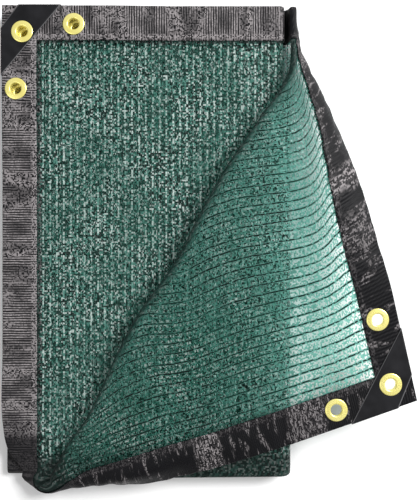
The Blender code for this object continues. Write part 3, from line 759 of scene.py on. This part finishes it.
def open_holes(o, bridge):
    """Opens the cloth round the eyelets' axes; bridge closes the wall between two faces."""
    bm = bmesh.new()
    bm.from_mesh(o.data)
    for axis in AXES:
        spot = axis * MM
        level = [v for v in bm.verts if abs(v.co.z - spot[2]) <= SHEET_REACH * MM]
        near = [v for v in level if math.dist(v.co[:2], spot[:2]) < HOLE_CLEAR * MM]
        if not near:
            continue
        rim = {v for n in near for f in n.link_faces for v in f.verts} - set(near)
        bmesh.ops.delete(bm, geom=near, context="VERTS")
        for v in rim:
            away = np.array([v.co.x - spot[0], v.co.y - spot[1]])
            away *= HOLE_R * MM / np.linalg.norm(away)
            v.co.x, v.co.y = spot[0] + away[0], spot[1] + away[1]
        if bridge:
            for sign in (1, -1):
                loop = [e for v in rim for e in v.link_edges if e.is_boundary]
                loop = {e for e in loop if (e.verts[0].co.z - spot[2]) * sign > 0}
                bmesh.ops.bridge_loops(bm, edges=list(loop))
    bmesh.ops.delete(bm, geom=[v for v in bm.verts if not v.link_faces], context="VERTS")
    bm.to_mesh(o.data)
    bm.free()


def grid_faces(rows, columns, closed=False, joined=False):
    """The faces of a grid of points: closed joins each row's ends, joined the last row's and
    the first's."""
    faces = []
    for i in range(rows if joined else rows - 1):
        a, b = i * columns, (i + 1) % rows * columns
        for j in range(columns if closed else columns - 1):
            k = (j + 1) % columns
            faces.append((a + j, a + k, b + k, b + j))
    return faces


def inset_lines(last, first_inset, last_inset):
    """The grid's lines between two insets, which may lie between lines of their own."""
    whole = range(math.ceil(first_inset), math.floor(last - last_inset) + 1)
    return [first_inset, *whole, last - last_inset]


def build_panel(mat):
    """The panel: the finer grid between its inset edges, as one open surface."""
    rows = inset_lines(LAST_ROW, PANEL_INSET / FIRST_PITCH, PANEL_INSET / FINAL_PITCH)
    columns = inset_lines(LAST_COLUMN, PANEL_INSET / SIDE_PITCH, PANEL_INSET / SIDE_PITCH)
    points = [at_place(FINE, r, c) for r in rows for c in columns]
    cloth = [at_place(CLOTH, r, c) for r in rows for c in columns]
    faces = grid_faces(len(rows), len(columns))
    o = new_object("knit_panel", points, faces, cloth, mat)
    open_holes(o, bridge=False)
    return o


EDGE_TURNS = 6  # pieces of a tape's round outer edge
EDGE_SLOPE = 0.6  # how far its inside narrows towards that edge


def tape_section():
    """The tape's closed section: (distance in from the cloth's edge, offset from its middle)."""
    flat = [SIDE_PITCH * k for k in range(1, TAPE_COLUMNS * TAPE_SPLITS + 1)]
    edge = []
    for k in range(EDGE_TURNS + 1):
        turn = math.pi * k / EDGE_TURNS
        edge.append((TAPE_FACE * (1 - math.sin(turn)), TAPE_FACE * math.cos(turn)))
    slope = TAPE_EDGE + EDGE_SLOPE
    inner = [(slope, -TAPE_INSIDE), (TAPE_EDGE, 0.0), (slope, TAPE_INSIDE)]
    ring = [(q, TAPE_FACE) for q in reversed(flat)] + edge + [(q, -TAPE_FACE) for q in flat]
    ring += [(q, -TAPE_INSIDE) for q in reversed(flat)]
    return ring + inner + [(q, TAPE_INSIDE) for q in flat]


def build_tape(name, stations, spot, mat):
    """A tape along stations; spot gives its (row, column) for a station and a distance in."""
    section = tape_section()
    points, cloth = [], []
    for k in stations:
        for q, offset in section:
            row, col = spot(k, q)
            normal = at_place(NORMALS, row, col)
            points.append(at_place(FINE, row, col) + normal / np.linalg.norm(normal) * offset)
            place = at_place(CLOTH, row, col)
            turned = TURNED_OVER if name.endswith("back_flap") else place[2]
            cloth.append((q, place[1] if "left" in name else place[0], turned))
    faces = grid_faces(len(stations), len(section), closed=True)
    count = len(section)
    for first in (0, len(points) - count):
        faces.append(tuple(range(first, first + count)))
    o = new_object(name, points, faces, cloth, mat)
    face_outwards(o)
    open_holes(o, bridge=True)
    return o


def build_tapes(long_sides, short_sides):
    """The four tapes: along the long sides from end to end, and along the short ones between."""
    rows = range(LAST_ROW + 1)
    inner = TAPE_COLUMNS * TAPE_SPLITS
    clear = GAP / SIDE_PITCH
    across = [inner + clear, *range(inner + 1, LAST_COLUMN - inner)]
    across.append(LAST_COLUMN - inner - clear)
    courses = [
        ("tape_left_flap", rows, lambda k, q: (k, q / SIDE_PITCH)),
        ("tape_left_base", rows, lambda k, q: (k, LAST_COLUMN - q / SIDE_PITCH)),
        ("tape_back_upper", across, lambda k, q: (q / FIRST_PITCH, k)),
        ("tape_back_flap", across, lambda k, q: (LAST_ROW - q / FINAL_PITCH, k)),
    ]
    tapes = {}
    for name, stations, spot in courses:
        mat = long_sides if "left" in name else short_sides
        tapes[name] = build_tape("woven_" + name, stations, spot, mat)
    return tapes


# Pieces of a patch: from its cut corner to its long side, across it, and round each edge
PATCH_STATIONS = 15
PATCH_ACROSS = 36
PATCH_ROUND = 5


def patch_section(first, second, cut, leg, share, face, clear):
    """One closed line round the cloth's corner: across its top, round an edge, and back."""
    a = cut[0] + (leg[0] - cut[0]) * share
    b = cut[1] + (leg[1] - cut[1]) * share
    ends = first * a, second * b
    outward = -second * clear, -first * clear
    line = []
    for side in (1, -1):
        start, end = (0, 1) if side > 0 else (1, 0)
        for k in range(PATCH_ACROSS + 1):
            t = k / PATCH_ACROSS
            flat = ends[start] * (1 - t) + ends[end] * t
            line.append(flat + np.array([0, 0, side * face]))
        for k in range(1, PATCH_ROUND):
            turn = math.pi * k / PATCH_ROUND
            around = outward[end] * math.sin(turn)
            line.append(ends[end] + around + np.array([0, 0, side * face * math.cos(turn)]))
    return line


def build_patch(sheet, cut_first, leg_first, cut_second, leg_second, mat):
    """A patch wrapped round both edges of a corner: an outer shell and the inner one, joined."""
    corner, first, second = corner_frame(sheet)
    cut, leg = (cut_first, cut_second), (leg_first, leg_second)
    rings, uses = [], []
    outer = [(k / PATCH_STATIONS, PATCH_FACE, PATCH + GAP) for k in range(PATCH_STATIONS + 1)]
    inner = [(share, PATCH_INSIDE, GAP) for share, _, _ in reversed(outer)]
    for share, face, clear in outer + inner:
        line = patch_section(first, second, cut, leg, share, face, clear)
        rings += [corner + p for p in line]
        uses += [(p @ first, p @ second, share) for p in line]
    lines = len(outer + inner)
    faces = grid_faces(lines, len(rings) // lines, closed=True, joined=True)
    o = new_object("satin_patch_" + sheet, rings, faces, uses, mat)
    face_outwards(o)
    open_holes(o, bridge=True)
    return o


EYELET_PROFILE = [
    # radius, height above the cloth: from the bore over the rolled lip to the flange's rim
    (5.25, -0.35),
    (5.3, 0.15),
    (5.5, 0.5),
    (5.95, 0.82),
    (6.5, 0.95),
    (7.1, 0.9),
    (7.7, 0.78),
    (8.4, 0.72),
    (9.1, 0.66),
    (9.7, 0.5),
    (10.1, 0.28),
    (10.25, 0.08),
    (10.2, 0.0),
]


def build_eyelet(name, center, clamp, mat):
    """A turned eyelet, with a flange clamp above and below the middle of its sheet."""
    upper = [(r, clamp + h) for r, h in EYELET_PROFILE] + [(BARREL_R, clamp)]
    profile = upper + [(r, -h) for r, h in reversed(upper)]
    points = []
    for k in range(EYELET_SEGMENTS):
        turn = 2 * math.pi * k / EYELET_SEGMENTS
        for r, h in profile:
            points.append(center + np.array([r * math.cos(turn), r * math.sin(turn), h]))
    faces = grid_faces(EYELET_SEGMENTS, len(profile), closed=True, joined=True)
    o = new_object(name, points, faces, None, mat)
    face_outwards(o)
    return o


class Nodes:
    """Builds a material's nodes: most calls return the new node's output."""

    def __init__(self, name):
        self.material = bpy.data.materials.new(name)
        self.material.use_nodes = True
        self.tree = self.material.node_tree
        self.tree.nodes.clear()
        self.output = self.tree.nodes.new("ShaderNodeOutputMaterial")

    def put(self, socket, value):
        if isinstance(value, bpy.types.NodeSocket):
            self.tree.links.new(value, socket)
        elif value is not None:
            socket.default_value = value

    def node(self, kind, inputs=(), **settings):
        n = self.tree.nodes.new(kind)
        for key, value in settings.items():
            setattr(n, key, value)
        for key, value in dict(inputs).items():
            self.put(n.inputs[key], value)
        return n

    def math(self, operation, a, b=None, c=None):
        n = self.node("ShaderNodeMath", operation=operation)
        for socket, value in zip(n.inputs, (a, b, c), strict=False):
            self.put(socket, value)
        return n.outputs[0]

    def times(self, a, b):
        return self.math("MULTIPLY", a, b)

    def most(self, a, b):
        return self.math("MAXIMUM", a, b)

    def above(self, value, level, soft):
        """0 below the level, 1 above it."""
        ends = {"Value": value, "From Min": level - soft, "From Max": level + soft}
        n = self.node("ShaderNodeMapRange", ends, interpolation_type="SMOOTHSTEP")
        return n.outputs[0]

    def less(self, value, level, soft):
        return self.math("SUBTRACT", 1.0, self.above(value, level, soft))

    def between(self, value, low, high, soft):
        return self.times(self.above(value, low, soft), self.less(value, high, soft))

    def fade(self, share, a, b):
        """A value: a where the share is 0, b where it is 1."""
        rise = b - a if isinstance(a, float) else self.math("SUBTRACT", b, a)
        return self.math("MULTIPLY_ADD", share, rise, a)

    def mix(self, share, a, b):
        """A colour: a where the share is 0, b where it is 1."""
        n = self.node("ShaderNodeMix", {"Factor": share}, data_type="RGBA")
        first, second = (socket for socket in n.inputs if socket.type == "RGBA")
        self.put(first, (*a, 1) if isinstance(a, tuple) else a)
        self.put(second, (*b, 1) if isinstance(b, tuple) else b)
        return next(socket for socket in n.outputs if socket.type == "RGBA")

    def blend(self, share, a, b):
        """A shader: a where the share is 0, b where it is 1."""
        return self.node("ShaderNodeMixShader", {0: share, 1: a, 2: b}).outputs[0]

    def cloth(self):
        """The cloth coordinates, one by one."""
        place = self.node("ShaderNodeAttribute", attribute_name="cloth").outputs["Vector"]
        return self.node("ShaderNodeSeparateXYZ", {0: place}).outputs

    def point(self, x, y, seed):
        return self.node("ShaderNodeCombineXYZ", {0: x, 1: y, 2: float(seed)}).outputs[0]

    def grain(self, x, y, width, length, seed):
        """Random 0 to 1 in cells width by length."""
        cx = self.math("FLOOR", self.math("DIVIDE", x, width))
        cy = self.math("FLOOR", self.math("DIVIDE", y, length))
        cell = {"Vector": self.point(cx, cy, seed)}
        return self.node("ShaderNodeTexWhiteNoise", cell).outputs["Value"]

    def noise(self, x, y, width, length, seed):
        """Soft random patches, width by length."""
        u, v = self.math("DIVIDE", x, width), self.math("DIVIDE", y, length)
        fog = {"Vector": self.point(u, v, seed), "Scale": 1.0, "Detail": 2.0}
        return self.node("ShaderNodeTexNoise", fog).outputs["Fac"]

    def wave(self, value, pitch):
        """A wave from 0 to 1 along value."""
        turn = self.math("MULTIPLY_ADD", value, 2 * math.pi / pitch, 0.0)
        return self.fade(self.math("SINE", turn), 0.5, 1.0)

    def surface(self, color, rough, height, bump, depth, **fixed):
        """A plain surface whose bumps follow height, bump strong and depth metres deep."""
        swell = {"Height": height, "Strength": bump, "Distance": depth}
        normal = self.node("ShaderNodeBump", swell).outputs[0]
        inputs = {"Base Color": color, "Roughness": rough, "Normal": normal}
        inputs.update({key.replace("_", " "): value for key, value in fixed.items()})
        return self.node("ShaderNodeBsdfPrincipled", inputs).outputs[0]

    def finish(self, shader):
        self.tree.links.new(shader, self.output.inputs["Surface"])
        return self.material


# In the materials, a pair of numbers after a value is a level and how softly it is crossed

# near black: dark flecks painted as shade in the knit's gaps, the flap's rib dashes, and painted
# shade at the crease, beside the tapes and round the front fold
KNIT_DARK = (0.001, 0.005, 0.004)
KNIT_GREEN = (0.008, 0.07, 0.05)
KNIT_BRIGHT = (0.085, 0.21, 0.175)
# the colour of painted highlights: glints on the yarn
KNIT_GLINT = (0.7, 0.74, 0.72)
KNIT_LIT = (0.44, 0.97, 0.86)  # the light that comes through the yarn
STACK_LIT = 0.35  # and its share, on the stack and on the flap
FLAP_LIT = 0.66
TAPE_EDGE_SHADE_REACH = 36.0  # painted shade along the tapes' inner edges, as far as this from the cloth's edge
RIB_DRIFT = 0.55  # how far the ribs wander to each side
KNIT_FLECK = (1.8, 1.6)  # a loop of yarn, across the cloth and along it
KNIT_STROKE = (1.7, 1.5)  # a painted glint of light on the yarn
KNIT_HOLE = (1.0, 1.6)
STITCH = 2.0  # length of a stitch of a chain
FRONT_FOLD_SHADE = (FOLD_DROP - 14, FOLD_DROP + 30)  # painted shade where the cloth goes round the front fold


def knit_material():
    """Open knit: raised chains along the cloth, loops of flat yarn and small holes between."""
    n = Nodes("knit")
    q, along, flap = n.cloth()
    drift = n.fade(n.noise(q, along, 9.0, 14.0, 1), -RIB_DRIFT, RIB_DRIFT)
    shifted = n.math("ADD", q, drift)
    rib = n.math("PINGPONG", shifted, RIB_PITCH / 2)  # 0 on a chain, half the pitch between
    on_rib, line = n.less(rib, 1.0, 0.35), n.less(rib, 0.55, 0.15)
    fleck = n.grain(shifted, along, *KNIT_FLECK, 2)
    stroke = n.grain(shifted, along, *KNIT_STROKE, 3)
    stitch = n.grain(shifted, along, RIB_PITCH, STITCH, 4)
    # The stack and the flap show the same face of the knit, painted differently for how light falls
    # on each: glints on the stack's chains, dark ribs on the flap
    turned = n.above(flap, 0.9, 0.1)

    # The stack's face: bright and green flecks, painted glints, and dark flecks painted as shade in
    # the gaps, with a painted glint on each rib's chain
    fill = n.mix(n.above(fleck, 0.66, 0.1), KNIT_GREEN, KNIT_BRIGHT)
    fill = n.mix(n.times(n.above(stroke, 0.72, 0.06), 0.75), fill, KNIT_GLINT)
    fill = n.mix(n.times(n.less(fleck, 0.47, 0.05), 0.97), fill, KNIT_DARK)
    chained = n.math("MULTIPLY_ADD", stroke, 0.7, n.times(stitch, 0.3))
    chain = n.mix(n.times(n.above(chained, 0.5, 0.1), 0.5), KNIT_BRIGHT, KNIT_GLINT)
    stack = n.mix(on_rib, fill, n.mix(n.less(fleck, 0.36, 0.08), chain, KNIT_DARK))

    # The flap's face: dark ribs, partly denser yarn and partly painted shade, and painted glints
    # beside them, stronger in bands of painted sheen
    leaning = n.math("ADD", q, n.times(along, 0.5))
    sheen = n.fade(n.above(n.noise(leaning, along, 34.0, 60.0, 6), 0.5, 0.14), 0.2, 0.95)
    glint = n.times(n.above(stroke, 0.5, 0.1), n.times(n.between(rib, 0.8, 2.4, 0.3), sheen))
    loops = n.mix(n.above(fleck, 0.6, 0.15), KNIT_GREEN, KNIT_BRIGHT)
    loops = n.mix(glint, loops, KNIT_GLINT)
    loops = n.mix(n.times(n.less(fleck, 0.3, 0.05), 0.8), loops, KNIT_DARK)
    dash = n.times(line, n.above(stitch, 0.18, 0.05))
    color = n.mix(turned, stack, n.mix(dash, loops, KNIT_DARK))

    # Slow changes of tone, and painted shade at the crease, along the tapes' inner edges and round
    # the front fold
    tone = n.noise(q, along, 46.0, 60.0, 5)
    color = n.mix(n.times(n.above(tone, 0.52, 0.16), 0.4), color, KNIT_GREEN)
    # painted shade along the crease's bend and just past it
    crease = n.times(n.above(flap, 0.12, 0.1), n.less(flap, 1.2, 0.55))
    # painted shade beside the tapes' inner edges
    tape_edge_shade = n.most(n.less(q, TAPE_EDGE_SHADE_REACH, 1.5), n.less(along, TAPE_EDGE_SHADE_REACH, 1.5))
    # painted shade round the front fold
    front = n.between(along, *FRONT_FOLD_SHADE, 8.0)
    for place, share in ((crease, 0.9), (tape_edge_shade, 0.7), (front, 0.86)):
        color = n.mix(n.times(place, share), color, KNIT_DARK)

    # Light comes through the yarn, but less through ribs, dark flecks and folds
    height = n.math("ADD", n.less(rib, 0.9, 0.6), n.times(fleck, 0.45))
    fibre = n.surface(color, 0.5, height, 0.5, 0.0005, Specular_IOR_Level=0.15)
    through = n.node("ShaderNodeBsdfTranslucent", {"Color": (*KNIT_LIT, 1)}).outputs[0]
    folded = n.most(crease, front)
    shut = n.times(n.less(fleck, 0.4, 0.06), n.fade(turned, 0.7, 0.1))
    covered = n.most(n.most(dash, n.times(folded, 0.9)), shut)
    lit = n.times(n.fade(turned, STACK_LIT, FLAP_LIT), n.math("SUBTRACT", 1.0, covered))
    solid = n.blend(lit, fibre, through)
    hole = n.less(n.grain(shifted, along, *KNIT_HOLE, 7), 0.46, 0.02)
    hole = n.times(n.times(hole, n.above(rib, 0.9, 0.1)), n.less(folded, 0.5, 0.2))
    return n.finish(n.blend(hole, solid, n.node("ShaderNodeBsdfTransparent").outputs[0]))


TAPE_BLACK = (0.004, 0.004, 0.005)
# the grey of the tape's painted sheen and of the flecks of its inner margin
TAPE_GREY = (0.33, 0.305, 0.31)
WEFT_PITCH = 2.35
WARP_PITCH = 1.25
TAPE_FLECK = (1.15, 1.1)  # across the tape and along it
TAPE_MARGIN = 27.0  # the tape's flecked inner margin starts here
TAPE_FOLD_SHADE = (406.0, 470.0)  # painted shade makes it black round the front fold
SHEEN_FRONT_BAND = [
    # along the flap's front band: from, to, how strong the painted sheen is
    (632.0, 662.0, 1.0),
    (748.0, 792.0, 0.7),
]
SHEEN_RIGHT_BAND = [
    # along the flap's right band, from its corner: from, to, how strong the painted sheen is
    (112.0, 134.0, 0.6),
    (152.0, 166.0, 1.0),
    (238.0, 252.0, 0.6),
]


def tape_material(name, sheen_patches):
    """Woven binding tape: weft lines across it, with painted grey sheen where it lies flat and in
    patches on the flap.
    """
    n = Nodes(name)
    q, along, turn = n.cloth()
    drift = n.times(n.noise(q, along, 14.0, 4.0, 1), 1.6)
    weft = n.wave(n.math("ADD", along, drift), WEFT_PITCH)
    warp = n.wave(q, WARP_PITCH)
    fleck = n.grain(q, along, *TAPE_FLECK, 2)
    turned = n.above(turn, 0.9, 0.1)

    # Lying flat: painted grey sheen on weft lines in some stretches and on flecks in others, some
    # lighter, some darker
    lines = n.times(n.above(weft, 0.5, 0.25), n.fade(fleck, 0.4, 1.0))
    speckle = n.times(n.above(fleck, 0.45, 0.25), 0.8)
    woven = n.fade(n.above(n.noise(q, along, 60.0, 22.0, 8), 0.48, 0.05), speckle, lines)
    level = n.fade(n.above(n.noise(q, along, 40.0, 15.0, 3), 0.47, 0.12), 0.3, 0.95)
    flat = n.times(woven, level)

    # On the flap: black, with painted grey sheen on crinkles in patches
    crinkle = n.above(n.noise(q, along, 9.0, 2.3, 4), 0.49, 0.05)
    place = n.math("ADD", along, n.fade(n.noise(q, along, 15.0, 30.0, 5), -8.0, 8.0))
    sheen_mask = n.times(n.above(n.noise(q, along, 22.0, 7.0, 6), 0.57, 0.04), 0.6)
    for first, last, amount in sheen_patches:
        sheen_mask = n.most(sheen_mask, n.times(n.between(place, first, last, 4.0), amount))
    flap_sheen = n.times(n.times(n.fade(crinkle, 0.1, 0.95), sheen_mask), speckle)
    grey = n.fade(turned, flat, flap_sheen)

    # The flecked inner margin, and painted shade round the front fold
    margin = n.times(n.above(q, TAPE_MARGIN, 1.0), n.above(fleck, 0.6, 0.08))
    grey = n.most(grey, n.times(margin, n.fade(turned, 0.7, 0.1)))
    away = n.most(n.less(along, TAPE_FOLD_SHADE[0], 7.0), n.above(along, TAPE_FOLD_SHADE[1], 10.0))
    grey = n.times(grey, n.fade(away, 0.12, 1.0))
    height = n.math("ADD", weft, n.times(warp, 0.4))
    color = n.mix(grey, TAPE_BLACK, TAPE_GREY)
    return n.finish(n.surface(color, 0.5, height, 0.45, 0.0005, Specular_IOR_Level=0.12))


SATIN_DARK = (0.007, 0.007, 0.008)
SATIN_LIGHT = (0.013, 0.013, 0.015)
SATIN_CUT = (0.32, 0.32, 0.33)  # the patch's cut edges
TWILL_PITCH = 1.5


def patch_material():
    """Smooth satin with a fine diagonal twill and pale cut edges."""
    n = Nodes("satin_patch")
    a, b, share = n.cloth()
    twill = n.wave(n.math("ADD", a, b), TWILL_PITCH)
    cloudy = n.noise(a, b, 16.0, 16.0, 1)
    color = n.mix(n.above(cloudy, 0.5, 0.25), SATIN_DARK, SATIN_LIGHT)
    cut = n.most(n.less(share, 0.02, 0.02), n.above(share, 0.985, 0.015))
    color = n.mix(n.times(cut, 0.4), color, SATIN_CUT)
    rough = n.fade(cloudy, 0.3, 0.5)
    return n.finish(n.surface(color, rough, twill, 0.12, 0.0003, Specular_IOR_Level=0.18))


BRASS_DULL = (0.84, 0.72, 0.16)
BRASS_BRIGHT = (0.94, 0.88, 0.36)


def brass_material():
    """Bright brass, a little duller in places, with fine scratches."""
    n = Nodes("brass")
    place = n.node("ShaderNodeTexCoord").outputs["Object"]
    cloudy = {"Vector": place, "Scale": 90.0, "Detail": 3.0}
    color = n.mix(n.node("ShaderNodeTexNoise", cloudy).outputs["Fac"], BRASS_DULL, BRASS_BRIGHT)
    fine = n.node("ShaderNodeTexNoise", {"Vector": place, "Scale": 900.0}).outputs["Fac"]
    rough = n.fade(fine, 0.2, 0.35)
    return n.finish(n.surface(color, rough, fine, 0.05, 0.0001, Metallic=0.45))


def dress():
    """All the pieces: (the panel, the tapes by name, and each piece with its node and slot)."""
    knit, satin, brass = knit_material(), patch_material(), brass_material()
    front = tape_material("tape_long_sides", SHEEN_FRONT_BAND)
    right = tape_material("tape_short_sides", SHEEN_RIGHT_BAND)
    panel = build_panel(knit)
    tapes = build_tapes(front, right)
    pieces = [(panel, "panel", "knit")]
    pieces += [(o, name, "tape") for name, o in tapes.items()]
    for sheet, *outline in PATCHES:
        pieces.append((build_patch(sheet, *outline, satin), "patch_" + sheet, "patch"))
        for name, center in eyelet_places(sheet):
            clamp = (PATCH_FACE if name == "corner" else TAPE_FACE) + GAP
            node = f"eyelet_{sheet}_{name}"
            pieces.append((build_eyelet("brass_" + node, center, clamp, brass), node, "eyelet"))
    for o, node, slot in pieces:
        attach(o, "root")
        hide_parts(node)
    return panel, tapes, pieces


FLOOR_SIZE = 6.0
FLOOR_DEPTH = 0.0002  # how far it lies below the cloth
FLOOR_GREY = 0.93
FLOOR_ROUGH = 0.9
SKY = 0.36  # strength of the even light from all round
LIGHTS = [
    # name, place, size, power: both shine at the middle of the stack
    ("key", (1.5, 0.9, 1.5), 1.0, 78.0),
    ("fill", (-1.2, -0.6, 1.6), 1.4, 12.0),
]
CAMERA_AT = (0.0589, -0.0088, 0.636)  # straight over the middle of the view
LENS = 47.0
SENSOR = 36.0


def build_floor():
    mesh = bpy.data.meshes.new("floor")
    h = FLOOR_SIZE / 2
    mesh.from_pydata([(-h, -h, 0), (h, -h, 0), (h, h, 0), (-h, h, 0)], [], [(0, 1, 2, 3)])
    floor = bpy.data.objects.new("floor", mesh)
    floor.location.z = -FLOOR_DEPTH
    pale = bpy.data.materials.new("pale_floor")
    pale.use_nodes = True
    shader = pale.node_tree.nodes["Principled BSDF"]
    shader.inputs["Base Color"].default_value = (FLOOR_GREY, FLOOR_GREY, FLOOR_GREY, 1)
    shader.inputs["Roughness"].default_value = FLOOR_ROUGH
    mesh.materials.append(pale)
    bpy.context.scene.collection.objects.link(floor)


def build_lights():
    world = bpy.data.worlds.new("studio")
    world.use_nodes = True
    sky = world.node_tree.nodes["Background"]
    sky.inputs["Color"].default_value = (1, 1, 1, 1)
    sky.inputs["Strength"].default_value = SKY
    bpy.context.scene.world = world
    for name, (x, y, z), size, power in LIGHTS:
        lamp = bpy.data.lights.new(name, "AREA")
        lamp.size = size
        lamp.energy = power
        o = bpy.data.objects.new(name, lamp)
        o.location = x, y, z
        o.rotation_euler = math.atan2(math.hypot(x, y), z), 0, math.atan2(-y, -x) - math.pi / 2
        bpy.context.scene.collection.objects.link(o)


def build_camera():
    data = bpy.data.cameras.new("camera")
    data.lens = LENS
    data.sensor_fit = "VERTICAL"
    data.sensor_height = SENSOR
    camera = bpy.data.objects.new("camera", data)
    camera.location = CAMERA_AT
    bpy.context.scene.collection.objects.link(camera)
    bpy.context.scene.camera = camera


build_camera()
build_floor()
build_lights()
bpy.context.scene.view_settings.view_transform = "Standard"
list(dress())
